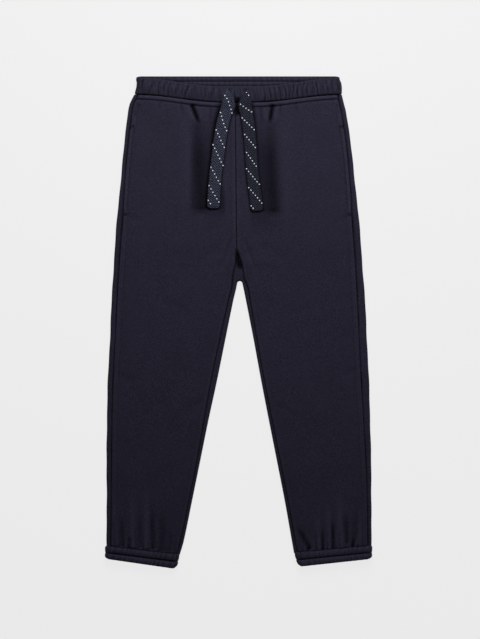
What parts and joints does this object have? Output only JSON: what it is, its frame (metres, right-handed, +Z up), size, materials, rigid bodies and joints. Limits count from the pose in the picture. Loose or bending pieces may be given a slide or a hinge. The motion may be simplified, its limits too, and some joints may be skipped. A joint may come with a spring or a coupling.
{
  "type": "jogger sweatpants",
  "caption": "Child's pull-on jogger sweatpants in navy fleece, laid flat, with elastic waist and cuffs, side pockets and a flat drawcord.",
  "frame": {"origin": "on the surface that the garment lies on, under the middle of its outline", "axes": "+X across the garment, towards the right of the view from above; +Y along the garment, from the hems to the waistband; +Z up, out of the surface"},
  "size_m": [0.3251, 0.5995, 0.0134],
  "materials": {
    "fleece": "brushed fleece, matt",
    "band": "fleece gathered over elastic, matt",
    "pocketing": "thin plain pocket cloth, matt",
    "cord": "flat woven tape with a herringbone and slanting dashed lines"
  },
  "bodies": {
    "root": {"front_left": "fleece", "front_right": "fleece", "back_left": "fleece", "back_right": "fleece", "waistband": "band", "cuff_left": "band", "cuff_right": "band", "pocket_left": "pocketing", "pocket_right": "pocketing", "drawcord_left": "cord", "drawcord_right": "cord"}
  },
  "joints": []
}
